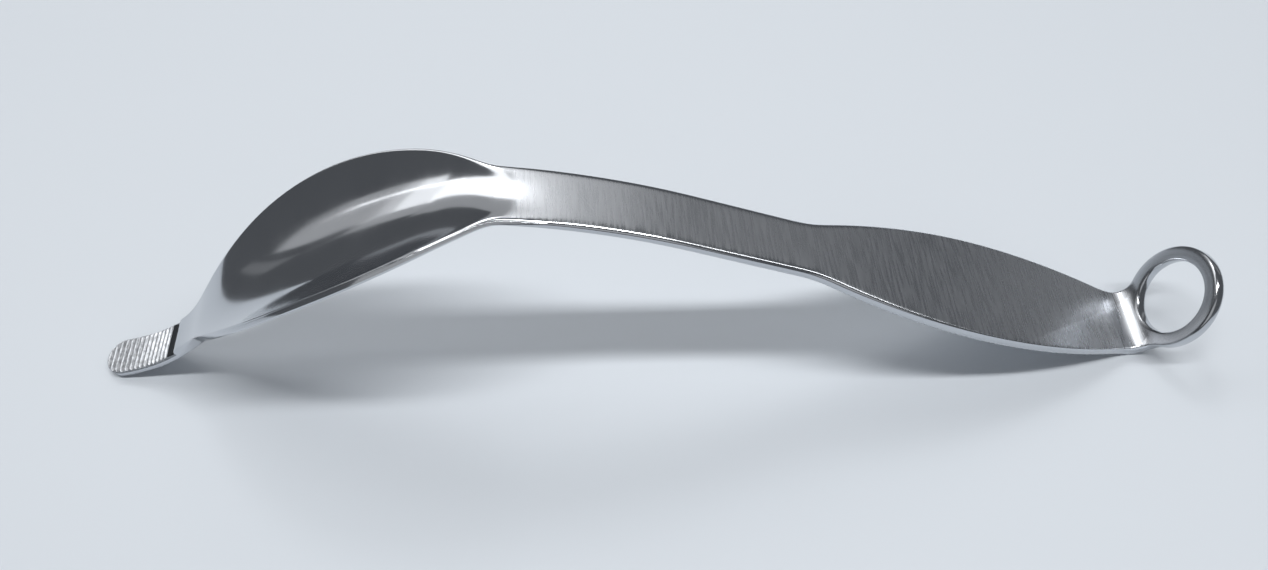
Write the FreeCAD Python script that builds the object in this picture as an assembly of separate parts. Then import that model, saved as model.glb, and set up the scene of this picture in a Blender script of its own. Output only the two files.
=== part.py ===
import FreeCAD, Part
import os
from collections import namedtuple
from math import acos, atan2, ceil, cos, degrees, radians, sin, sqrt

# A one-piece stainless retractor. A flat strip is cut to its outline, hollowed at the blade,
# eased along its edges and bent along its length, and ends in a finger ring.
# Lengths are millimetres and angles are degrees. A station is a length along the top of the
# strip, counted from the end of the toe.

# The strip, which is drawn thinner at the blade
strip_thickness = 3.0
blade_thickness = 2.5

# The toe, with its toothed pad
toe_width = 10.4
toe_slope = 13.2
toe_edge = 0.55
pad_length = 23.9
pad_recess = 0.45
tooth_pitch = 1.45
tooth_depth = 0.55
tooth_crest = 0.30
first_tooth = 1.3
plain_land = 2.9

# The outline of the blade, given by its widths and by the radii that join them
blade_start = 25.2
blade_width = 37.8
blade_flare_radius = 37.0
blade_front_radius = 112.0
blade_back_radius = 88.0
blade_corner_radius = 11.8
blade_edge = 0.5

# The hollow of the blade. Its depth follows the width: by the powers given here, it grows fast
# where the blade widens, and falls slowly where it narrows until it fades into the neck.
hollow_depth = 7.0
hollow_widening = 2.0
hollow_narrowing = 1.5
hollow_back = 34.0

# The neck between the blade and the grip leaf
neck_width = 15.8
neck_length = 72.4
neck_edge = 0.95

# The outline of the grip leaf
leaf_width = 30.4
leaf_corner_radius = 33.0
leaf_front_radius = 177.0
leaf_back_radius = 186.0
leaf_waist_radius = 25.0
leaf_edge = 0.6
waist_width = 18.6

# The finger ring
ring_bore = 19.4
ring_outer = 27.4
ring_flare_radius = 7.8
ring_edge = 0.8

# The side view: each bend's radius and the slope where it ends
heel_radius = 44.2
heel_slope = 53.0
blade_arch_radius = 120.8
blade_arch_slope = 16.3
crown_radius = 48.0
crown_slope = -8.5
neck_arch_radius = 181.3
grip_slope = -22.3
ring_bend_radius = 3.5
ring_slope = 66.0
waist_past_bend = 2.8

# How finely the strip is followed by its cross-sections
section_step = 4.0
section_turn = 14.0
closest_step = 0.3
pad_sections = 6
loft_degree = 5

# How far the cutting shapes reach past the metal, and how closely edges are looked for
overcut = 1.0
closeness = 0.01
rim_points = 5
settle_fineness = 0.02
settle_turns = 3

Curve = namedtuple("Curve", "start low high low_radius high_radius rising")
Bend = namedtuple("Bend", "length turn_per_mm")


def curve_angle(curve):
    """Steepest angle of two tangent arcs that join one half-width to another."""
    return acos(1 - (curve.high - curve.low) / (curve.low_radius + curve.high_radius))


def curve_length(curve):
    return (curve.low_radius + curve.high_radius) * sin(curve_angle(curve))


def curve_end(curve):
    return curve.start + curve_length(curve)


def curve_half_width(curve, station):
    """Half-width on a pair of tangent arcs, read from whichever end is the narrow one."""
    along = station - curve.start
    if not curve.rising:
        along = curve_length(curve) - along
    meet = curve.low_radius * sin(curve_angle(curve))
    if along < meet:
        return curve.low + curve.low_radius - sqrt(curve.low_radius**2 - along**2)
    left = curve_length(curve) - along
    return curve.high - curve.high_radius + sqrt(curve.high_radius**2 - left**2)


def outline_curves():
    """The curved stretches of the outline, in order from the toe to the ring."""
    toe, blade, neck = toe_width / 2, blade_width / 2, neck_width / 2
    leaf, waist, ring = leaf_width / 2, waist_width / 2, ring_outer / 2
    blade_front = Curve(blade_start, toe, blade, blade_flare_radius, blade_front_radius, True)
    blade_back = Curve(
        curve_end(blade_front), neck, blade, blade_corner_radius, blade_back_radius, False
    )
    leaf_start = curve_end(blade_back) + neck_length
    leaf_front = Curve(leaf_start, neck, leaf, leaf_corner_radius, leaf_front_radius, True)
    leaf_back = Curve(
        curve_end(leaf_front), waist, leaf, leaf_waist_radius, leaf_back_radius, False
    )
    flare = Curve(curve_end(leaf_back), waist, ring, ring_flare_radius, ring, True)
    return [blade_front, blade_back, leaf_front, leaf_back, flare]


outline = outline_curves()
blade_front, blade_back, leaf_front, leaf_back, ring_flare = outline
neck_start = curve_end(blade_back)
hollow_end = neck_start + hollow_back / 2
waist_station = curve_end(leaf_back)
ring_station = curve_end(ring_flare)


def half_width(station):
    """Half the strip's width at a station."""
    width = toe_width / 2
    for curve in outline:
        if station <= curve.start:
            return width
        if station < curve_end(curve):
            return curve_half_width(curve, station)
        width = curve.high if curve.rising else curve.low
    return width


def arc(radius, slope_before, slope_after):
    """A bend from one slope to another, with its radius on the top face."""
    turn = radians(slope_after - slope_before)
    return Bend(radius * abs(turn), (1 if turn > 0 else -1) / radius)


def side_view():
    """The bends and straight runs of the strip's top face, in order from the toe."""
    front = [
        Bend(toe_width / 2, 0),
        arc(heel_radius, toe_slope, heel_slope),
        arc(blade_arch_radius, heel_slope, blade_arch_slope),
        arc(crown_radius, blade_arch_slope, crown_slope),
        arc(neck_arch_radius, crown_slope, grip_slope),
    ]
    bend_start = waist_station - waist_past_bend
    grip = Bend(bend_start - sum(bend.length for bend in front), 0)
    ring_bend = arc(ring_bend_radius, grip_slope, ring_slope)
    ring_run = Bend(ring_station + ring_outer - bend_start - ring_bend.length, 0)
    return front + [grip, ring_bend, ring_run]


bends = side_view()


def bend_starts():
    stations = [0]
    for bend in bends:
        stations.append(stations[-1] + bend.length)
    return stations


def place_on_strip(station):
    """Where a station lies in the side view: its x, its z and its slope in radians."""
    x, z, slope = 0.0, 0.0, radians(toe_slope)
    for bend in bends:
        length = min(station, bend.length)
        after = slope + length * bend.turn_per_mm
        if bend.turn_per_mm:
            x += (sin(after) - sin(slope)) / bend.turn_per_mm
            z -= (cos(after) - cos(slope)) / bend.turn_per_mm
        else:
            x += length * cos(slope)
            z += length * sin(slope)
        slope = after
        station -= length
        if station <= 0:
            break
    return x, z, slope


def strip_point(station, across, height):
    """A point beside a station: across the strip, and above or below its top face."""
    x, z, slope = place_on_strip(station)
    return FreeCAD.Vector(x - height * sin(slope), across, z + height * cos(slope))


def strip_normal(station):
    slope = place_on_strip(station)[2]
    return FreeCAD.Vector(-sin(slope), 0, cos(slope))


def ease(value):
    """Goes from 0 to 1 with level ends."""
    value = min(max(value, 0), 1)
    return value * value * (3 - 2 * value)


def thickness_at(station):
    thinner = ease((station - blade_front.start) / curve_length(blade_front))
    thicker = ease((station - neck_start) / neck_length)
    return strip_thickness - (strip_thickness - blade_thickness) * (thinner - thicker)


def hollow_at(station):
    """Depth of the hollow, which is none at the toe and fades out at the neck."""
    if station < curve_end(blade_front):
        widened = (2 * half_width(station) - toe_width) / (blade_width - toe_width)
        return hollow_depth * widened**hollow_widening
    narrowed = 2 * half_width(station) / blade_width
    fading = ease((hollow_end - station) / hollow_back)
    return hollow_depth * narrowed**hollow_narrowing * fading


def edge_at(station):
    """How far the edges are eased, which goes over smoothly from one part to the next."""
    to_neck = ease((station - neck_start + hollow_back) / (2 * hollow_back))
    to_leaf = ease((station - leaf_front.start) / curve_length(leaf_front))
    to_ring = ease((station - waist_station) / curve_length(ring_flare))
    easing = blade_edge + (neck_edge - blade_edge) * to_neck
    easing += (leaf_edge - neck_edge) * to_leaf
    return easing + (ring_edge - leaf_edge) * to_ring


def eased_corner(before, corner, after):
    """The points of a corner that is ground off in two narrow flats."""
    share = 1 - sqrt(0.5)
    middle = [c + share * (b + a - 2 * c) for b, c, a in zip(before, corner, after)]
    return [before, tuple(middle), after]


def pairs(points):
    return list(zip(points, points[1:]))


def section_edges(station, top, thickness, hollow, easing):
    """The closed cross-section at a station: a parabola over, one under, and eased sides."""
    width = half_width(station)
    inner = width - easing
    rise = hollow * (inner / width) ** 2
    shoulder = top - hollow + rise
    middle = top - hollow - rise
    corner = shoulder + 2 * hollow * inner / width**2 * easing
    foot, heel = shoulder - thickness, corner - thickness
    side = eased_corner((inner, shoulder), (width, corner), (width, corner - easing))
    side += eased_corner((width, heel + easing), (width, heel), (inner, foot))
    other = [(-across, height) for across, height in reversed(side)]
    over = [(-inner, shoulder), (0, middle), (inner, shoulder)]
    under = [(inner, foot), (0, middle - thickness), (-inner, foot)]
    poles = [over] + pairs(side) + [under] + pairs(other)
    return [curve_edge(station, points) for points in poles]


def curve_edge(station, poles):
    curve = Part.BezierCurve()
    curve.setPoles([strip_point(station, across, height) for across, height in poles])
    return curve.toShape()


def strip_section(station):
    thickness, hollow = thickness_at(station), hollow_at(station)
    return Part.Wire(section_edges(station, 0, thickness, hollow, edge_at(station)))


def pad_section(station):
    return Part.Wire(
        section_edges(station, -pad_recess, strip_thickness - pad_recess, 0, toe_edge)
    )


def curve_meet(curve):
    """Where the two arcs of a curve touch each other."""
    from_low = curve.low_radius * sin(curve_angle(curve))
    return curve.start + (from_low if curve.rising else curve_length(curve) - from_low)


def stations_between(first, last):
    """Where the cross-sections of a stretch stand: close together where it turns quickly."""
    stops = {first, last}
    stops.update(curve.start for curve in outline)
    stops.update(curve_meet(curve) for curve in outline)
    stops.update(bend_starts())
    stops = sorted(stop for stop in stops if first <= stop <= last)
    stations = [first]
    for before, after in zip(stops, stops[1:]):
        turn = abs(place_on_strip(after)[2] - place_on_strip(before)[2])
        pieces = ceil(max((after - before) / section_step, degrees(turn) / section_turn))
        stations += [before + (after - before) * (i + 1) / pieces for i in range(pieces)]
    kept = [s for s in stations[1:-1] if min(s - first, last - s) > closest_step]
    return [first] + kept + [last]


def make_stretch(first, last):
    sections = [strip_section(station) for station in stations_between(first, last)]
    return Part.makeLoft(sections, True, False, False, loft_degree)


def make_strip():
    """The blade, the neck and leaf, the bend, then the near half of the ring's disc."""
    bend_start, bend_end = bend_starts()[-3:-1]
    joints = [pad_length, hollow_end, bend_start, bend_end, ring_station]
    stretches = [make_stretch(first, last) for first, last in zip(joints, joints[1:])]
    return stretches[0].fuse(stretches[1:])


def make_pad():
    """The thinner toe that carries the teeth."""
    first, last = toe_width / 2, pad_length
    stations = [first + (last - first) * i / pad_sections for i in range(pad_sections + 1)]
    return Part.makeLoft([pad_section(s) for s in stations], True, False, False, loft_degree)


def round_end(station, top, thickness, easing, turn):
    """A half-disc that closes a flat stretch of the strip, turned about its own normal."""
    width = half_width(station)
    inner, bottom = width - easing, top - thickness
    rim = eased_corner((inner, top), (width, top), (width, top - easing))
    rim += eased_corner((width, bottom + easing), (width, bottom), (inner, bottom))
    points = [(0, top)] + rim + [(0, bottom), (0, top)]
    face = Part.Face(Part.Wire([curve_edge(station, pair) for pair in pairs(points)]))
    return face.revolve(strip_point(station, 0, 0), strip_normal(station), turn)


def make_tooth_gap(station):
    """A V-shaped bar that cuts the gap between two teeth."""
    half_gap = (tooth_pitch - tooth_crest) / 2
    flare = half_gap * (tooth_depth + overcut) / tooth_depth
    reach = toe_width / 2 + overcut
    middle = strip_point(station, -reach, -pad_recess)
    slope = place_on_strip(station)[2]
    along = FreeCAD.Vector(cos(slope), 0, sin(slope))
    up = strip_normal(station)
    corners = [middle - up * tooth_depth, middle + up * overcut + along * flare]
    corners += [middle + up * overcut - along * flare]
    face = Part.Face(Part.makePolygon(corners + corners[:1]))
    return face.extrude(FreeCAD.Vector(0, 2 * reach, 0))


def tooth_gaps():
    room = pad_length - plain_land - first_tooth
    count = int(room / tooth_pitch) + 1
    return [make_tooth_gap(first_tooth + i * tooth_pitch) for i in range(count)]


def ring_bore_cutter():
    length = strip_thickness + 2 * overcut
    base = strip_point(ring_station, 0, -strip_thickness - overcut)
    return Part.makeCylinder(ring_bore / 2, length, base, strip_normal(ring_station))


def is_bore_rim(edge):
    """True of an edge that runs round the finger hole at one height."""
    if edge.Degenerated or edge.Length < ring_edge:
        return False
    centre, axis = strip_point(ring_station, 0, 0), strip_normal(ring_station)
    arms = [point - centre for point in edge.discretize(rim_points)]
    heights = [arm.dot(axis) for arm in arms]
    reaches = [(arm - axis * arm.dot(axis)).Length for arm in arms]
    level = max(heights) - min(heights) < closeness
    return level and max(abs(reach - ring_bore / 2) for reach in reaches) < closeness


def round_bore(body):
    """Rounds both rims of the finger hole."""
    return body.makeFillet(ring_edge, [edge for edge in body.Edges if is_bore_rim(edge)])


def make_retractor():
    """The whole strip: toe, blade, neck, leaf and ring in one piece."""
    toe_end = round_end(toe_width / 2, -pad_recess, strip_thickness - pad_recess, toe_edge, 180)
    ring_end = round_end(ring_station, 0, strip_thickness, ring_edge, -180)
    body = make_strip().fuse([make_pad(), toe_end, ring_end])
    body = body.cut(ring_bore_cutter()).removeSplitter()
    body = round_bore(body)
    return body.cut(tooth_gaps())


def settle(body):
    """Turns the part about Y until toe and ring bend touch one level, then centres it."""
    for _ in range(settle_turns):
        points = body.tessellate(settle_fineness)[0]
        middle = (body.BoundBox.XMin + body.BoundBox.XMax) / 2
        toe = min((p for p in points if p.x < middle), key=lambda p: p.z)
        bend = min((p for p in points if p.x > middle), key=lambda p: p.z)
        angle = degrees(atan2(bend.z - toe.z, bend.x - toe.x))
        body.rotate(FreeCAD.Vector(0, 0, 0), FreeCAD.Vector(0, 1, 0), angle)
    points = body.tessellate(settle_fineness)[0]
    low = min(p.z for p in points)
    left, right = min(p.x for p in points), max(p.x for p in points)
    body.translate(FreeCAD.Vector(-(left + right) / 2, 0, -low))
    return body


os.makedirs("parts", exist_ok=True)
retractor = settle(make_retractor())
retractor.exportStep("parts/retractor.step")
box = retractor.BoundBox
print("retractor", retractor.isValid(), len(retractor.Solids), len(retractor.Faces))
print("size", round(box.XLength, 2), round(box.YLength, 2), round(box.ZLength, 2))
print("volume", round(retractor.Volume, 1))
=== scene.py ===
# %% [markdown]
# # A one-piece steel retractor
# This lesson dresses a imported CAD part. The real object is a single strip of stainless steel:
# a toothed toe, a hollowed blade, a slim neck, a leaf-shaped grip and a finger ring. The CAD
# solid is a loose mesh of triangles, which is fine for collision but would break up the
# reflections of polished steel. So the strip is made again here as one fine, even sheet, from
# the same sizes.

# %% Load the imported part
from math import acos, atan2, cos, hypot, pi, radians, sin, sqrt

import bmesh
import bpy
from mathutils import Matrix, Vector
from mathutils.bvhtree import BVHTree


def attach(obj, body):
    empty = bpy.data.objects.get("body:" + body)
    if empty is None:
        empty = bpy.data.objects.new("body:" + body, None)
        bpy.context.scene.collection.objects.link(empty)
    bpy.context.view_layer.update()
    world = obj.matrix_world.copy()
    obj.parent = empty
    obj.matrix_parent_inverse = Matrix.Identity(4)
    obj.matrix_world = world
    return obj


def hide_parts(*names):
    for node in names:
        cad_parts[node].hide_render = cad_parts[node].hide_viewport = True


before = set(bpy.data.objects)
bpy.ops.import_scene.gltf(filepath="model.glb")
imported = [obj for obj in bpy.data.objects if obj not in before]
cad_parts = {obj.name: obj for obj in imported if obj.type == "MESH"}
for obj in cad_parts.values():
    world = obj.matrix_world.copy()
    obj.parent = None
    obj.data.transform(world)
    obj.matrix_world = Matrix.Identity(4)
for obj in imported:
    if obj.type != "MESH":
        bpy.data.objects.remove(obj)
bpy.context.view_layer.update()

# %% [markdown]
# ## The sizes of the strip
# A smith would start from a flat blank. So every size is a length in millimetres on that blank:
# a station is how far along its top face a place lies, counted from the end of the toe. The
# outline is given by its widths and by the radii of the arcs that join them.

# %% Sizes of the blank
MM = 0.001

STRIP_THICKNESS = 3.0
BLADE_THICKNESS = 2.5

TOE_WIDTH = 10.4
TOE_SLOPE = 13.2
TOE_EDGE = 0.55
PAD_LENGTH = 23.9
PAD_RECESS = 0.45
TOOTH_PITCH = 1.45
TOOTH_DEPTH = 0.55
TOOTH_CREST = 0.30
FIRST_TOOTH = 1.3
PLAIN_LAND = 2.9
LAND_DIP = 0.11

BLADE_START = 25.2
BLADE_WIDTH = 37.8
BLADE_FLARE_RADIUS = 37.0
BLADE_FRONT_RADIUS = 112.0
BLADE_BACK_RADIUS = 88.0
BLADE_CORNER_RADIUS = 11.8
BLADE_EDGE = 0.5

HOLLOW_DEPTH = 7.0
HOLLOW_BACK = 34.0
WIDENING = 2.0
NARROWING = 1.5

NECK_WIDTH = 15.8
NECK_LENGTH = 72.4
NECK_EDGE = 0.95
NECK_SOFTNESS = 2.6

LEAF_WIDTH = 30.4
LEAF_CORNER_RADIUS = 33.0
LEAF_FRONT_RADIUS = 177.0
LEAF_BACK_RADIUS = 186.0
LEAF_WAIST_RADIUS = 25.0
LEAF_EDGE = 0.6
WAIST_WIDTH = 18.6

RING_BORE = 19.4
RING_OUTER = 27.4
RING_FLARE_RADIUS = 7.8
RING_EDGE = 0.8

# %% [markdown]
# ## The outline
# Two arcs that touch each other take the strip from one width to the next. That is how such an
# outline is drawn by hand, and it keeps the rims fair, which a polished edge shows at once.


# %% Widths along the blank
class Sweep:
    """Two tangent arcs that take the half-width from low to high, or back from high to low."""

    def __init__(self, start, low, high, low_radius, high_radius, rising):
        self.start, self.low, self.high = start, low, high
        self.low_radius, self.high_radius, self.rising = low_radius, high_radius, rising
        self.angle = acos(1 - (high - low) / (low_radius + high_radius))
        self.length = (low_radius + high_radius) * sin(self.angle)
        self.end = start + self.length

    def half_width(self, station):
        along = station - self.start if self.rising else self.end - station
        if along < self.low_radius * sin(self.angle):
            return self.low + self.low_radius - sqrt(self.low_radius**2 - along**2)
        left = self.length - along
        return self.high - self.high_radius + sqrt(self.high_radius**2 - left**2)


toe, blade, neck = TOE_WIDTH / 2, BLADE_WIDTH / 2, NECK_WIDTH / 2
leaf, waist, ring = LEAF_WIDTH / 2, WAIST_WIDTH / 2, RING_OUTER / 2
blade_front = Sweep(BLADE_START, toe, blade, BLADE_FLARE_RADIUS, BLADE_FRONT_RADIUS, True)
blade_back = Sweep(blade_front.end, neck, blade, BLADE_CORNER_RADIUS, BLADE_BACK_RADIUS, False)
leaf_front = Sweep(
    blade_back.end + NECK_LENGTH, neck, leaf, LEAF_CORNER_RADIUS, LEAF_FRONT_RADIUS, True
)
leaf_back = Sweep(leaf_front.end, waist, leaf, LEAF_WAIST_RADIUS, LEAF_BACK_RADIUS, False)
ring_flare = Sweep(leaf_back.end, waist, ring, RING_FLARE_RADIUS, ring, True)
sweeps = [blade_front, blade_back, leaf_front, leaf_back, ring_flare]
ring_station = ring_flare.end


def half_width(station):
    width = toe
    for sweep in sweeps:
        if station <= sweep.start:
            return width
        if station < sweep.end:
            return sweep.half_width(station)
        width = sweep.high if sweep.rising else sweep.low
    return width


print("the ring's centre lies at station", round(ring_station, 2))

# %% [markdown]
# ## The bends
# Seen from the side, the strip is a chain of arcs and straight runs. Each bend is its length
# and how sharply it turns. Walking the chain tells where any station ends up. The hollow side
# of the tight bend at the ring is filled a little, because forging never leaves it sharp.

# %% Bends, as pairs of length and turn for each millimetre
HEEL_RADIUS = 44.2
HEEL_SLOPE = 53.0
BLADE_ARCH_RADIUS = 120.8
BLADE_ARCH_SLOPE = 16.3
CROWN_RADIUS = 48.0
CROWN_SLOPE = -8.5
NECK_ARCH_RADIUS = 181.3
GRIP_SLOPE = -22.3
RING_BEND_RADIUS = 3.5
RING_SLOPE = 66.0
WAIST_PAST_BEND = 2.8
BEND_FILL = 0.7
BEND_FILL_REACH = 5.2


def arc(radius, slope_before, slope_after):
    turn = radians(slope_after - slope_before)
    return radius * abs(turn), (1 if turn > 0 else -1) / radius


bends = [
    (toe, 0),
    arc(HEEL_RADIUS, TOE_SLOPE, HEEL_SLOPE),
    arc(BLADE_ARCH_RADIUS, HEEL_SLOPE, BLADE_ARCH_SLOPE),
    arc(CROWN_RADIUS, BLADE_ARCH_SLOPE, CROWN_SLOPE),
    arc(NECK_ARCH_RADIUS, CROWN_SLOPE, GRIP_SLOPE),
]
bend_start = leaf_back.end - WAIST_PAST_BEND
bends.append((bend_start - sum(length for length, _ in bends), 0))
bends.append(arc(RING_BEND_RADIUS, GRIP_SLOPE, RING_SLOPE))
bend_end = bend_start + bends[-1][0]
bends.append((ring_station + RING_OUTER - bend_end, 0))


def place_on_strip(station):
    """The x, the z and the slope of the top face at a station."""
    x, z, slope = 0.0, 0.0, radians(TOE_SLOPE)
    for length, turn in bends:
        length = min(station, length)
        after = slope + length * turn
        if turn:
            x += (sin(after) - sin(slope)) / turn
            z -= (cos(after) - cos(slope)) / turn
        else:
            x += length * cos(slope)
            z += length * sin(slope)
        slope = after
        station -= length
        if station <= 0:
            break
    return x, z, slope


print("the strip bends up into the ring between", round(bend_start, 1), "and", round(bend_end, 1))


# %% [markdown]
# ## The section
# The blank is drawn thinner at the blade, pressed into a shallow trough there, and rounded
# along its edges. The trough grows deeper as the blade widens. All of these fade in and out, so
# each is a smooth function of the station.

# %% Thickness, hollow and edges
def ease(value):
    value = min(max(value, 0), 1)
    return value * value * (3 - 2 * value)


def thickness_at(station):
    thinner = ease((station - blade_front.start) / blade_front.length)
    thicker = ease((station - blade_back.end) / NECK_LENGTH)
    return STRIP_THICKNESS - (STRIP_THICKNESS - BLADE_THICKNESS) * (thinner - thicker)


def hollow_at(station):
    if station < blade_front.end:
        return HOLLOW_DEPTH * ((half_width(station) - toe) / (blade - toe)) ** WIDENING
    back = ease((blade_back.end + HOLLOW_BACK / 2 - station) / HOLLOW_BACK)
    return HOLLOW_DEPTH * (half_width(station) / blade) ** NARROWING * back


def edge_at(station):
    if station < PAD_LENGTH:
        return TOE_EDGE
    to_neck = ease((station - blade_back.end + HOLLOW_BACK) / (2 * HOLLOW_BACK))
    to_leaf = ease((station - leaf_front.start) / leaf_front.length)
    to_ring = ease((station - leaf_back.end) / ring_flare.length)
    edge = BLADE_EDGE + (NECK_EDGE - BLADE_EDGE) * to_neck
    return edge + (LEAF_EDGE - NECK_EDGE) * to_leaf + (RING_EDGE - LEAF_EDGE) * to_ring


def reach_at(station):
    """How far in from the rim the edge is rounded. At the neck it is drawn out, and soft."""
    to_neck = ease((station - blade_back.end + HOLLOW_BACK) / (1.3 * HOLLOW_BACK))
    to_leaf = ease((station - leaf_front.start) / leaf_front.length)
    return edge_at(station) * (1 + (NECK_SOFTNESS - 1) * (to_neck - to_leaf))


def from_rim(station, across):
    """How far inside the outline a point of the blank lies."""
    if station < toe:
        return toe - hypot(station - toe, across)
    if station > ring_station:
        return ring - hypot(station - ring_station, across)
    return half_width(station) - abs(across)


def eased(distance, edge, reach):
    """How far a rounded edge has fallen at some distance inside the rim."""
    if distance >= reach:
        return 0.0
    return edge * (1 - sqrt(max(1 - (1 - max(distance, 0) / reach) ** 2, 0)))


# %% [markdown]
# ## The blank as a grid
# The sheet starts as a grid. Its rows run across the strip and its columns along it. The rows
# stand close together where there are teeth or a tight bend, and the outer columns are bunched
# at the rim so that the rounded edge has real geometry.

# %% Rows and columns of the grid
TOOTH_ROWS = 8
BLADE_STEP = 1.7
GRIP_STEP = 2.6
BEND_STEP = 0.4
LAND_STEP = 0.5
FIRST_ROW = 0.05
SHOULDER = 0.03
PAST_RING_RIM = 0.65
MIDDLE_COLUMNS = 12
RIM_LOOPS = [0.0, 0.134, 0.5, 1.0, 2.0]


def spread(first, last, step):
    """Evenly spaced stations after the first, up to and with the last."""
    count = max(1, round((last - first) / step))
    return [first + (last - first) * (i + 1) / count for i in range(count)]


ring_joint = ring_station - ring + PAST_RING_RIM
teeth_end = PAD_LENGTH - PLAIN_LAND
rows = [FIRST_ROW]
rows += spread(rows[-1], teeth_end, TOOTH_PITCH / TOOTH_ROWS)
rows += spread(teeth_end, PAD_LENGTH - SHOULDER, LAND_STEP)
rows += [PAD_LENGTH + SHOULDER]
rows += spread(rows[-1], blade_back.end, BLADE_STEP)
rows += spread(blade_back.end, bend_start, GRIP_STEP)
rows += spread(bend_start, ring_joint, BEND_STEP)
columns = 2 * (len(RIM_LOOPS) - 1) + MIDDLE_COLUMNS
print(len(rows), "rows of", columns + 1, "points, up to the ring at", round(ring_joint, 2))


def across_at(station, column):
    """Where a column crosses a row: rim loops at both sides and even columns between."""
    width, edge = half_width(station), reach_at(station)
    if station < toe:
        width = sqrt(toe**2 - (toe - station) ** 2)
    side = -1 if column < columns / 2 else 1
    from_side = min(column, columns - column)
    loops = [min(loop * edge, loop / RIM_LOOPS[-1] * width / 2) for loop in RIM_LOOPS]
    if from_side < len(loops):
        return side * (width - loops[from_side])
    inner = width - loops[-1]
    share = (from_side - len(loops) + 1) / (MIDDLE_COLUMNS / 2)
    return side * inner * (1 - share)


# %% Make the grid
blank = bmesh.new()
bmesh.ops.create_grid(blank, x_segments=len(rows) - 1, y_segments=columns, size=1)
for vert in blank.verts:
    row = round((vert.co.x + 1) / 2 * (len(rows) - 1))
    column = round((vert.co.y + 1) / 2 * columns)
    across = across_at(rows[row], column)
    station = toe - sqrt(toe**2 - across**2) if row == 0 else rows[row]
    vert.co = (station, across, 0)
print("the grid has", len(blank.faces), "faces")

# %% [markdown]
# ## The ring
# The grid stops at a line across the strip, just short of the finger hole. One corner of that
# line is spun round the ring's centre to the other corner, which gives the ring's outer rim,
# and each point of it is pushed out to the outline. The closed loop is then extruded inwards,
# step by step, until it is the round rim of the hole.

# %% Spin the outer rim of the ring
RING_STEPS = 84
HALVINGS = 40
CLOSE = 0.01
MERGE_WITHIN = 0.003
centre = Vector((ring_station, 0, 0))
bore = RING_BORE / 2


def rim_distance(angle):
    """How far the outline, or the line where the grid ends, lies from the ring's centre."""
    low, high = bore, 2 * ring
    for _ in range(HALVINGS):
        middle = (low + high) / 2
        station, across = ring_station + middle * cos(angle), middle * sin(angle)
        inside = station > ring_joint and from_rim(station, across) > 0
        low, high = (middle, high) if inside else (low, middle)
    return low


joint_verts = [v for v in blank.verts if abs(v.co.x - ring_joint) < CLOSE]
corner = min(joint_verts, key=lambda v: v.co.y)
corner_angle = atan2(-corner.co.y, centre.x - corner.co.x)
joint_edges = [e for e in blank.edges if all(v in joint_verts for v in e.verts)]
bmesh.ops.spin(
    blank, geom=[corner], cent=centre, axis=(0, 0, 1),
    angle=2 * pi - 2 * corner_angle, steps=RING_STEPS, use_merge=False,
)
rim_edges = [e for e in blank.edges if not e.link_faces]
for vert in {v for e in rim_edges for v in e.verts} - set(joint_verts):
    angle = atan2(vert.co.y, vert.co.x - centre.x)
    if abs(angle) < pi - corner_angle - CLOSE:
        vert.co = centre + Vector((cos(angle), sin(angle), 0)) * rim_distance(angle)
bmesh.ops.remove_doubles(blank, verts=blank.verts[:], dist=MERGE_WITHIN)
rim_edges = [e for e in blank.edges if not e.link_faces]
print("the ring's rim has", len(rim_edges), "edges, and the line at the grid", len(joint_edges))

# %% Extrude the rim inwards to the finger hole
RING_LOOPS = [(0, d) for d in RIM_LOOPS[1:]] + [(1, d) for d in reversed(RIM_LOOPS)]
joint_edges = [
    e for e in blank.edges if all(abs(v.co.x - ring_joint) < CLOSE for v in e.verts)
]
loop_edges = rim_edges + joint_edges
for from_bore, distance in RING_LOOPS:
    made = bmesh.ops.extrude_edge_only(blank, edges=loop_edges)["geom"]
    loop_edges = [g for g in made if isinstance(g, bmesh.types.BMEdge) and len(g.link_faces) == 1]
    for vert in {v for e in loop_edges for v in e.verts}:
        arm = vert.co - centre
        angle = atan2(arm.y, arm.x)
        inset = distance * RING_EDGE
        away = bore + inset if from_bore else rim_distance(angle) - inset
        vert.co = centre + arm.normalized() * away
print("with its ring the sheet has", len(blank.faces), "faces")

# %% [markdown]
# ## Thickness, edges and teeth
# Extruding the whole sheet while keeping the original gives a closed body: the sheet is its
# top, the copy its underside and the new faces its side walls. Heights are then set from the
# distance to the rim. The teeth are cut the same way, by lowering what stands above a groove.

# %% Close the sheet into a body
top_verts = set(blank.verts)
bmesh.ops.extrude_face_region(blank, geom=blank.faces[:], use_keep_orig=True)


def groove_at(station):
    """How deep the grooves between the teeth are at a station."""
    if not FIRST_TOOTH - TOOTH_PITCH / 2 < station < teeth_end:
        return 0.0
    to_groove = abs((station - FIRST_TOOTH + TOOTH_PITCH / 2) % TOOTH_PITCH - TOOTH_PITCH / 2)
    half_gap = (TOOTH_PITCH - TOOTH_CREST) / 2
    return TOOTH_DEPTH * max(0, 1 - to_groove / half_gap)


def top_height(station, across):
    edge = edge_at(station)
    fall = eased(from_rim(station, across), edge, reach_at(station))
    to_bore = hypot(station - ring_station, across) - bore
    fall = max(fall, eased(to_bore, edge, edge))
    if station < PAD_LENGTH:
        land = max(station - teeth_end, 0) * LAND_DIP
        return -PAD_RECESS - land - max(fall, groove_at(station))
    to_bend = abs(station - (bend_start + bend_end) / 2)
    return BEND_FILL * ease(1 - to_bend / BEND_FILL_REACH) - fall


def under_height(station, across):
    edge = edge_at(station)
    fall = eased(from_rim(station, across), edge, edge)
    to_bore = hypot(station - ring_station, across) - bore
    return max(fall, eased(to_bore, edge, edge)) - thickness_at(station)


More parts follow.
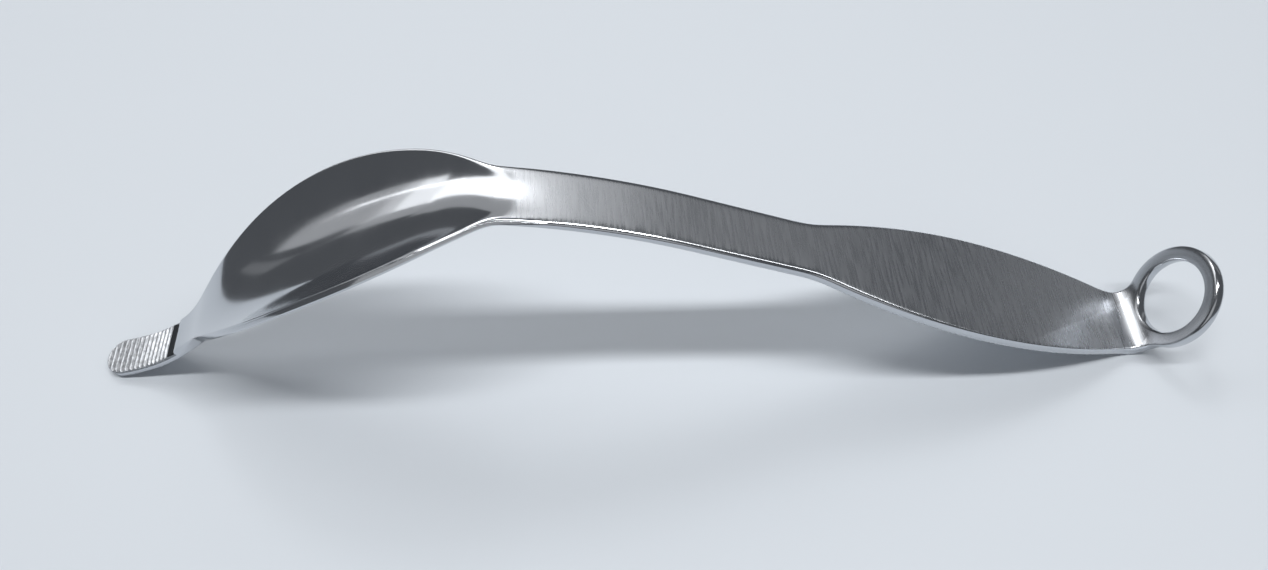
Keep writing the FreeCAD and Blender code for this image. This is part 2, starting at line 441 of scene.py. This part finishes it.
for vert in blank.verts:
    on_top = vert in top_verts
    vert.co.z = (top_height if on_top else under_height)(vert.co.x, vert.co.y)
bmesh.ops.recalc_face_normals(blank, faces=blank.faces[:])
print("the body has", len(blank.faces), "faces and", len(blank.verts), "points")


# %% [markdown]
# ## Hollow and bend
# Only now is the blank hollowed and bent, as in the workshop. Before that, each point's place
# on the flat blank is kept as an attribute named flat. The grinding marks will follow it, so
# they run square across the strip however it bends.

# %% Keep the flat place, then hollow and bend
flat = blank.verts.layers.float_vector.new("flat")
for vert in blank.verts:
    station, across, height = vert.co
    vert[flat] = vert.co * MM
    share = min(abs(across) / half_width(station), 1) if station < ring_station else 1
    height -= hollow_at(station) * (1 - share**2)
    x, z, slope = place_on_strip(station)
    vert.co = Vector((x - height * sin(slope), across, z + height * cos(slope))) * MM

# %% [markdown]
# ## Rest
# The real strip rests on the tip of its toe and on the bend before the ring. A few turns find
# that stand. A hair of length is taken off, so that the rounded ends stay inside the solid's
# box, which its flat facets make slightly shorter.

# %% Stand the strip on its toe and ring bend
TURNS = 3
SNUG = 0.9998

for _ in range(TURNS):
    middle = (min(v.co.x for v in blank.verts) + max(v.co.x for v in blank.verts)) / 2
    low_toe = min((v.co for v in blank.verts if v.co.x < middle), key=lambda co: co.z)
    low_bend = min((v.co for v in blank.verts if v.co.x > middle), key=lambda co: co.z)
    tilt = atan2(low_bend.z - low_toe.z, low_bend.x - low_toe.x)
    bmesh.ops.rotate(blank, verts=blank.verts[:], matrix=Matrix.Rotation(tilt, 3, "Y"))
xs = [v.co.x for v in blank.verts]
drop = min(v.co.z for v in blank.verts)
shift = Vector((-(min(xs) + max(xs)) / 2, 0, -drop))
bmesh.ops.translate(blank, verts=blank.verts[:], vec=shift)
bmesh.ops.scale(blank, verts=blank.verts[:], vec=(SNUG, 1, 1))
print("the crown stands", round(max(v.co.z for v in blank.verts) / MM, 2), "mm above the table")

# %% Turn it into an object
mesh = bpy.data.meshes.new("retractor_steel")
blank.to_mesh(mesh)
blank.free()
for polygon in mesh.polygons:
    polygon.use_smooth = True
retractor = bpy.data.objects.new("retractor_steel", mesh)
bpy.context.scene.collection.objects.link(retractor)
print("the strip's mesh has", len(mesh.polygons), "faces")

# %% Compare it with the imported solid
EVERY = 7
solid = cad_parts["retractor"]
tree = BVHTree.FromPolygons(
    [v.co for v in solid.data.vertices], [p.vertices for p in solid.data.polygons]
)
gaps = [tree.find_nearest(v.co)[3] / MM for v in list(mesh.vertices)[::EVERY]]
print("mean distance from the solid, in mm:", round(sum(gaps) / len(gaps), 3))
print("largest distance from the solid, in mm:", round(max(gaps), 3))

fine = retractor.modifiers.new("fine", "SUBSURF")
fine.levels = 1
fine.render_levels = 1

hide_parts("retractor")
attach(retractor, "root")

# %% [markdown]
# ## Steel
# One metal with several finishes. The hollow of the blade is polished, so it mirrors the room.
# The neck and the leaf are ground across the strip with a belt, so they shine softly and show
# fine lines; one corner of the leaf's end is painted lighter, a painted highlight. The ring is
# smooth, darker towards its bore, and painted darker at its root and near limb, a painted dark
# reflection. The toe's teeth are scuffed, with painted shade in their grooves, and the plain
# land behind them is painted dark, a painted shade.
# Where each finish lies is read from the place on the blank: the station, the place across and
# the height, which is 0 on the top face and falls towards the underside.

# %% Where each finish lies, in metres on the blank
POLISHED_TO_GROUND = (0.1348, 0.1380)
POLISH_BOW = 45.0
TOP_FACE = (-0.00025, -0.00005)
UNDERSIDE = (-0.0021, -0.0024)
UPPER_HALF = -0.0013
# The plain land between these stations is painted darker, a painted shade.
TEETH_END, LAND_END = 0.0210, 0.0239
# Painted shade: heights over which the grooves between the teeth are painted darker.
SHADED_GROOVE_HEIGHTS = (-0.00100, -0.00062)
RING_START = ((bend_end - 1) * MM, (bend_end + 1) * MM)
RING_FACE = (bore * MM, ring * MM)
# Painted dark reflection: spans where the ring's root and its near limb are painted darker.
ROOT_SHADE_SPAN = ((ring_station - ring) * MM, (ring_station - bore) * MM)
LIMB_SHADE_SPAN = (-ring * MM, 0.0)
LEANING_START, LEANING_END = (0.040, 0.062), (0.148, 0.128)
SIDE_WALL = (-0.0003, -0.0006)
# Painted highlight: where the near corner of the leaf's end is painted lighter, up to a painted
# bright line.
LEAF_END = (0.270, 0.282)
CREASE_STATION, CREASE_SLOPE = 0.2990, 0.51
CREASE_SOFT, GLINT_WIDTH = 0.0003, 0.0007

# %% [markdown]
# Grinding marks are noise drawn out into lines. Each kind has its number of lines to the metre,
# the number of breaks along each metre of a line, how many degrees it leans and its detail.

# %% Marks in the steel
MARKS = {
    "fine": (1500, 110, 2, 3.0),
    "finest": (6000, 250, -1, 3.0),
    "broad": (130, 60, 4, 3.0),
    "swirls": (1500, 160, -52, 3.0),
    "scratches": (2400, 34, 38, 1.0),
    "cloudy": (60, 60, 0, 5.0),
    "scuffs": (2400, 900, 3, 4.0),
}
CONTRAST = (0.3, 0.7)
SCRATCH_CONTRAST = (0.70, 0.76)
SCUFF_CONTRAST = (0.38, 0.60)
DULL_STEEL = (0.53, 0.55, 0.58, 1)
BRIGHT_STEEL = (0.63, 0.65, 0.68, 1)
POLISHED_ROUGHNESS = (0.08, 0.14)
BELT_ROUGHNESS = (0.24, 0.34)
RING_ROUGHNESS = 0.22
TOOTH_ROUGHNESS = 0.36
SWIRL_RELIEF, BELT_RELIEF, SCUFF_RELIEF = 0.02, 0.02, 0.9
RELIEF_DISTANCE = 0.00002
SIDE_LEAN = 0.75
print(len(MARKS), "kinds of marks")


# %% Helpers for shader nodes
class Reckoner:
    """Adds shader nodes that reckon with numbers. Each call gives the new node's output."""

    def __init__(self, tree):
        self.tree = tree

    def plug(self, value, socket):
        if isinstance(value, bpy.types.NodeSocket):
            self.tree.links.new(value, socket)
        else:
            socket.default_value = value

    def reckon(self, operation, a, b=0.0):
        node = self.tree.nodes.new("ShaderNodeMath")
        node.operation = operation
        self.plug(a, node.inputs[0])
        self.plug(b, node.inputs[1])
        return node.outputs[0]

    def times(self, a, b):
        return self.reckon("MULTIPLY", a, b)

    def plus(self, a, b):
        return self.reckon("ADD", a, b)

    def minus(self, a, b):
        return self.reckon("SUBTRACT", a, b)

    def fade(self, value, start, end, low=0.0, high=1.0):
        """A smooth change from low to high while the value goes from start to end."""
        node = self.tree.nodes.new("ShaderNodeMapRange")
        node.interpolation_type = "SMOOTHSTEP"
        names = ("Value", "From Min", "From Max", "To Min", "To Max")
        for name, number in zip(names, (value, start, end, low, high)):
            self.plug(number, node.inputs[name])
        return node.outputs["Result"]

    def blend(self, share, a, b):
        """Between the numbers a and b."""
        node = self.tree.nodes.new("ShaderNodeMix")
        self.plug(share, node.inputs["Factor"])
        self.plug(a, node.inputs["A"])
        self.plug(b, node.inputs["B"])
        return node.outputs["Result"]

    def mix_colours(self, share, a, b, blend_type="MIX"):
        """Between the colours a and b, or their product."""
        node = self.tree.nodes.new("ShaderNodeMix")
        node.data_type = "RGBA"
        node.blend_type = blend_type
        self.plug(share, node.inputs[0])
        self.plug(a, node.inputs[6])
        self.plug(b, node.inputs[7])
        return node.outputs[2]

    def streaks(self, place, lines, breaks, lean, detail):
        """Noise drawn out into lines."""
        turn = self.tree.nodes.new("ShaderNodeMapping")
        turn.vector_type = "TEXTURE"
        turn.inputs["Rotation"].default_value = (0, 0, radians(lean))
        turn.inputs["Scale"].default_value = (1 / lines, 1 / breaks, 1 / breaks)
        self.tree.links.new(place, turn.inputs["Vector"])
        noise = self.tree.nodes.new("ShaderNodeTexNoise")
        noise.inputs["Scale"].default_value = 1.0
        noise.inputs["Detail"].default_value = detail
        self.tree.links.new(turn.outputs["Vector"], noise.inputs["Vector"])
        return noise.outputs["Fac"]


# %% [markdown]
# Each of these functions answers one question about a point of the surface: which finish it
# has, how light it is, how much the ring's darkening and painted shade, the painted shade of the
# land and the grooves, and the painted highlight at the leaf's end change that, and how the
# surface rises and falls there.


# %% Finishes, tones and relief
def find_finishes(r, station, across, height):
    """The share of each finish at a point."""
    bowed = r.times(r.times(across, across), POLISH_BOW)
    past_blade = r.fade(r.plus(station, bowed), *POLISHED_TO_GROUND)
    upper = r.fade(height, *TOP_FACE)
    under = r.fade(height, *UNDERSIDE)
    on_top = r.reckon("GREATER_THAN", height, UPPER_HALF)
    toothed = r.times(on_top, r.reckon("LESS_THAN", station, TEETH_END))
    before_blade = r.times(on_top, r.reckon("LESS_THAN", station, LAND_END))
    return {
        "ground": r.times(past_blade, r.plus(upper, under)),
        "toothed": toothed,
        "land": r.minus(before_blade, toothed),
        "ring": r.fade(station, *RING_START),
        "upper": upper,
    }


def find_shade(r, marks, finish):
    """Where the metal lies between dull and bright."""
    lines = r.blend(0.4, r.fade(marks["fine"], *CONTRAST), r.fade(marks["finest"], *CONTRAST))
    lines = r.blend(0.15, lines, r.fade(marks["broad"], *CONTRAST))
    lines = r.blend(r.times(finish["ring"], 0.8), lines, 0.5)
    polished = r.blend(0.2, 0.5, r.fade(marks["cloudy"], *CONTRAST))
    shade = r.blend(finish["ground"], polished, lines)
    scratched = r.fade(marks["scratches"], *SCRATCH_CONTRAST)
    shade = r.plus(shade, r.times(scratched, r.times(finish["ground"], 0.8)))
    return r.blend(finish["toothed"], shade, r.fade(marks["scuffs"], *SCUFF_CONTRAST))


def find_ring_tone_and_painted_shade(r, station, across, finish):
    """The ring is darker towards its bore; its root and near limb are painted darker, a painted
    dark reflection.
    """
    beyond = r.minus(station, ring_station * MM)
    from_centre = r.reckon("SQRT", r.plus(r.times(beyond, beyond), r.times(across, across)))
    # Darker towards the bore.
    darker_to_bore = r.fade(from_centre, *RING_FACE, 0.50, 0.86)
    # Painted dark reflection: the root and the near limb are painted darker.
    root = r.fade(station, *ROOT_SHADE_SPAN, 0.55, 1.0)
    limb = r.fade(across, *LIMB_SHADE_SPAN, 0.62, 1.0)
    tone = r.times(darker_to_bore, r.times(root, limb))
    return r.blend(r.times(finish["ring"], finish["upper"]), 1.0, tone)


def find_crease_painted_highlight(r, station, across, finish):
    """The near corner of the leaf's end is painted lighter, a painted highlight, up to a painted
    bright line at the crease.
    """
    to_crease = r.times(r.minus(station, CREASE_STATION), CREASE_SLOPE)
    past_crease = r.minus(to_crease, across)
    leaf_end = r.fade(station, *LEAF_END)
    # Painted highlight: the corner past the crease is painted lighter, and a painted bright line
    # runs along it.
    painted_facet_light = r.times(leaf_end, r.fade(past_crease, -CREASE_SOFT, CREASE_SOFT, 0.0, 0.30))
    from_crease = r.reckon("ABSOLUTE", past_crease)
    painted_glint = r.times(leaf_end, r.fade(from_crease, GLINT_WIDTH, 0.0, 0.0, 0.16))
    lift = r.times(r.plus(painted_facet_light, painted_glint), r.minus(finish["upper"], finish["ring"]))
    return r.plus(1.0, r.reckon("MAXIMUM", lift, 0.0))


def find_tooth_painted_shade_and_pits(r, height, marks, finish):
    """The teeth are painted darker in their grooves, a painted shade, and darker in random pits.
    """
    # Painted shade: the deeper the groove, the darker the colour.
    grooves = r.fade(height, *SHADED_GROOVE_HEIGHTS, 0.48, 1.0)
    pits = r.blend(r.fade(marks["scuffs"], *SCUFF_CONTRAST), 0.68, 1.0)
    return r.blend(finish["toothed"], 1.0, r.times(grooves, pits))


def find_relief(r, station, height, marks, finish):
    """Marks cut into the steel. The blade's side walls also lean out, as its trough does."""
    swirls = r.times(marks["swirls"], SWIRL_RELIEF)
    belt = r.times(marks["finest"], BELT_RELIEF)
    relief = r.blend(finish["ground"], swirls, belt)
    relief = r.blend(finish["toothed"], relief, r.times(marks["scuffs"], SCUFF_RELIEF))
    leaning = r.times(r.fade(station, *LEANING_START), r.fade(station, *LEANING_END))
    side = r.times(leaning, r.fade(height, *SIDE_WALL))
    return r.plus(relief, r.times(r.times(side, height), -SIDE_LEAN / RELIEF_DISTANCE))


# %% Steel
def make_steel():
    material = bpy.data.materials.new("ground_steel")
    material.use_nodes = True
    tree = material.node_tree
    shader = tree.nodes["Principled BSDF"]
    shader.inputs["Metallic"].default_value = 1.0
    attribute = tree.nodes.new("ShaderNodeAttribute")
    attribute.attribute_name = "flat"
    place = attribute.outputs["Vector"]
    split = tree.nodes.new("ShaderNodeSeparateXYZ")
    tree.links.new(place, split.inputs["Vector"])
    station, across, height = split.outputs

    r = Reckoner(tree)
    marks = {name: r.streaks(place, *numbers) for name, numbers in MARKS.items()}
    finish = find_finishes(r, station, across, height)
    # Painted shade: the plain land behind the teeth is painted darker.
    tone = r.minus(1.0, r.times(finish["land"], 0.6))
    # Darker towards the bore, and painted dark reflection at the ring's root and near limb.
    tone = r.times(tone, find_ring_tone_and_painted_shade(r, station, across, finish))
    # Painted highlight at the near corner of the leaf's end.
    tone = r.times(tone, find_crease_painted_highlight(r, station, across, finish))
    # Painted shade in the teeth's grooves, and darker random pits.
    tone = r.times(tone, find_tooth_painted_shade_and_pits(r, height, marks, finish))
    colour = r.mix_colours(find_shade(r, marks, finish), DULL_STEEL, BRIGHT_STEEL)
    r.plug(r.mix_colours(1.0, colour, tone, "MULTIPLY"), shader.inputs["Base Color"])

    polish = r.fade(marks["cloudy"], *CONTRAST, *POLISHED_ROUGHNESS)
    belt = r.fade(marks["fine"], *CONTRAST, *BELT_ROUGHNESS)
    belt = r.blend(finish["ring"], belt, RING_ROUGHNESS)
    roughness = r.blend(finish["ground"], polish, belt)
    roughness = r.blend(finish["toothed"], roughness, TOOTH_ROUGHNESS)
    r.plug(roughness, shader.inputs["Roughness"])

    bump = tree.nodes.new("ShaderNodeBump")
    bump.inputs["Distance"].default_value = RELIEF_DISTANCE
    r.plug(find_relief(r, station, height, marks, finish), bump.inputs["Height"])
    r.plug(bump.outputs["Normal"], shader.inputs["Normal"])
    print("the steel is made of", len(tree.nodes), "nodes")
    return material


mesh.materials.append(make_steel())

# %% [markdown]
# ## Table
# The object lies on a plain pale table. It ends not far behind the object, because the blade
# mirrors a dark room there, and the picture shows no edge of it.

# %% Table
TABLE_WIDTH = 1.6
TABLE_FRONT = 1.2
TABLE_BACK = 0.165
TABLE_COLOUR = (0.70, 0.745, 0.795, 1)
TABLE_ROUGHNESS = 0.6


def make_table():
    table_mesh = bpy.data.meshes.new("table")
    plane = bmesh.new()
    bmesh.ops.create_grid(plane, x_segments=1, y_segments=1, size=0.5)
    bmesh.ops.scale(plane, verts=plane.verts, vec=(TABLE_WIDTH, TABLE_FRONT + TABLE_BACK, 1))
    bmesh.ops.translate(plane, verts=plane.verts, vec=(0, (TABLE_BACK - TABLE_FRONT) / 2, 0))
    plane.to_mesh(table_mesh)
    plane.free()
    material = bpy.data.materials.new("pale_table")
    material.use_nodes = True
    shader = material.node_tree.nodes["Principled BSDF"]
    shader.inputs["Base Color"].default_value = TABLE_COLOUR
    shader.inputs["Roughness"].default_value = TABLE_ROUGHNESS
    table_mesh.materials.append(material)
    table = bpy.data.objects.new("table", table_mesh)
    bpy.context.scene.collection.objects.link(table)


make_table()
print("the table is", TABLE_WIDTH, "by", TABLE_FRONT + TABLE_BACK, "m")

# %% [markdown]
# ## Light
# Polished steel shows its surroundings, so the lamps are placed as the reflections ask. Every
# lamp is a flat panel that lies along the object, at one distance from it. Each row gives its
# left and right ends in metres, how many degrees it stands behind the vertical, its height and
# the brightness of its face, where 1 is white paper. The narrow strip overhead casts the
# shadows. The panels behind light the trough and the flat faces, and fade out to both sides.

# %% Lights
ROOM_COLOUR = (0.105, 0.11, 0.118, 1)
LAMP_DISTANCE = 1.2
LAMPS = [
    ("ceiling_strip", -0.50, 0.90, -4.2, 0.10, 22.0),
    ("far_strip", 0.90, 1.70, -4.2, 0.08, 6.0),
    ("back_softbox", -1.25, 0.05, 31.0, 0.47, 1.7),
    ("back_lamp", -0.21, 0.00, 34.0, 0.20, 7.0),
    ("back_panel", -1.25, 0.10, 50.5, 0.38, 0.32),
    ("left_panel_1", -1.60, -1.25, 29.0, 0.72, 1.3),
    ("left_panel_2", -1.75, -1.60, 29.0, 0.72, 0.7),
    ("left_panel_3", -2.45, -1.75, 30.0, 0.80, 0.38),
    ("left_shoulder", -1.75, -1.25, 51.0, 0.22, 0.36),
    ("low_left_panel", -2.60, -1.85, 66.0, 0.28, 0.11),
    ("thin_lamp", -2.20, -0.90, 22.0, 0.04, 2.0),
    ("right_panel_1", 0.05, 0.34, 42.0, 0.60, 0.82),
    ("right_panel_2", 0.34, 0.62, 45.0, 0.70, 0.45),
    ("right_panel_3", 0.62, 1.30, 50.0, 0.70, 0.14),
    ("low_right_panel", 1.60, 3.00, 68.0, 0.34, 0.20),
    ("front_panel", -0.90, 0.90, -52.0, 0.90, 0.35),
]


def make_softbox(name, left, right, behind, height, radiance):
    """A flat lamp along the object, turned to it, as bright as a surface of that radiance."""
    lamp = bpy.data.lights.new(name, "AREA")
    lamp.shape = "RECTANGLE"
    lamp.size, lamp.size_y = right - left, height
    lamp.energy = radiance * pi * (right - left) * height
    softbox = bpy.data.objects.new(name, lamp)
    tilt = radians(behind)
    away, up = LAMP_DISTANCE * sin(tilt), LAMP_DISTANCE * cos(tilt)
    softbox.location = ((left + right) / 2, away, up)
    softbox.rotation_euler = (-tilt, 0, 0)
    bpy.context.scene.collection.objects.link(softbox)
    print(name, "is", round(right - left, 2), "by", height, "m,", behind, "degrees behind")


for lamp in LAMPS:
    make_softbox(*lamp)

world = bpy.data.worlds.new("studio")
bpy.context.scene.world = world
world.use_nodes = True
world.node_tree.nodes["Background"].inputs["Color"].default_value = ROOM_COLOUR
bpy.context.scene.view_settings.view_transform = "Standard"

# %% [markdown]
# ## Camera
# The camera looks down steeply from in front. Its place was worked out from the outline of the
# whole object, and the lens is shifted a little to frame it.

# %% Camera
PICTURE_WIDTH, PICTURE_HEIGHT = 1268, 570
FOCAL_PIXELS = 990.66
CAMERA_HEIGHT_ANGLE = radians(58.0)
CAMERA_TURN = radians(2.986)
CAMERA_ROLL = radians(0.495)
CAMERA_DISTANCE = 271.86 * MM
CAMERA_ASIDE = -4.54 * MM
HORIZON_ROW = 343.0
SENSOR_WIDTH = 36
NEAREST = 0.01

camera_data = bpy.data.cameras.new("camera")
camera_data.sensor_width = SENSOR_WIDTH
camera_data.lens = FOCAL_PIXELS * SENSOR_WIDTH / PICTURE_WIDTH
camera_data.shift_y = (HORIZON_ROW - PICTURE_HEIGHT / 2) / PICTURE_WIDTH
camera_data.clip_start = NEAREST
camera = bpy.data.objects.new("camera", camera_data)
bpy.context.scene.collection.objects.link(camera)
back = CAMERA_DISTANCE * cos(CAMERA_HEIGHT_ANGLE)
up = CAMERA_DISTANCE * sin(CAMERA_HEIGHT_ANGLE)
view = Matrix.Rotation(pi / 2 - CAMERA_HEIGHT_ANGLE, 4, "X") @ Matrix.Rotation(CAMERA_ROLL, 4, "Z")
place = Matrix.Translation((CAMERA_ASIDE, -back, up))
camera.matrix_world = Matrix.Rotation(-CAMERA_TURN, 4, "Z") @ place @ view
bpy.context.scene.camera = camera
print("the camera's lens is", round(camera_data.lens, 2), "mm")
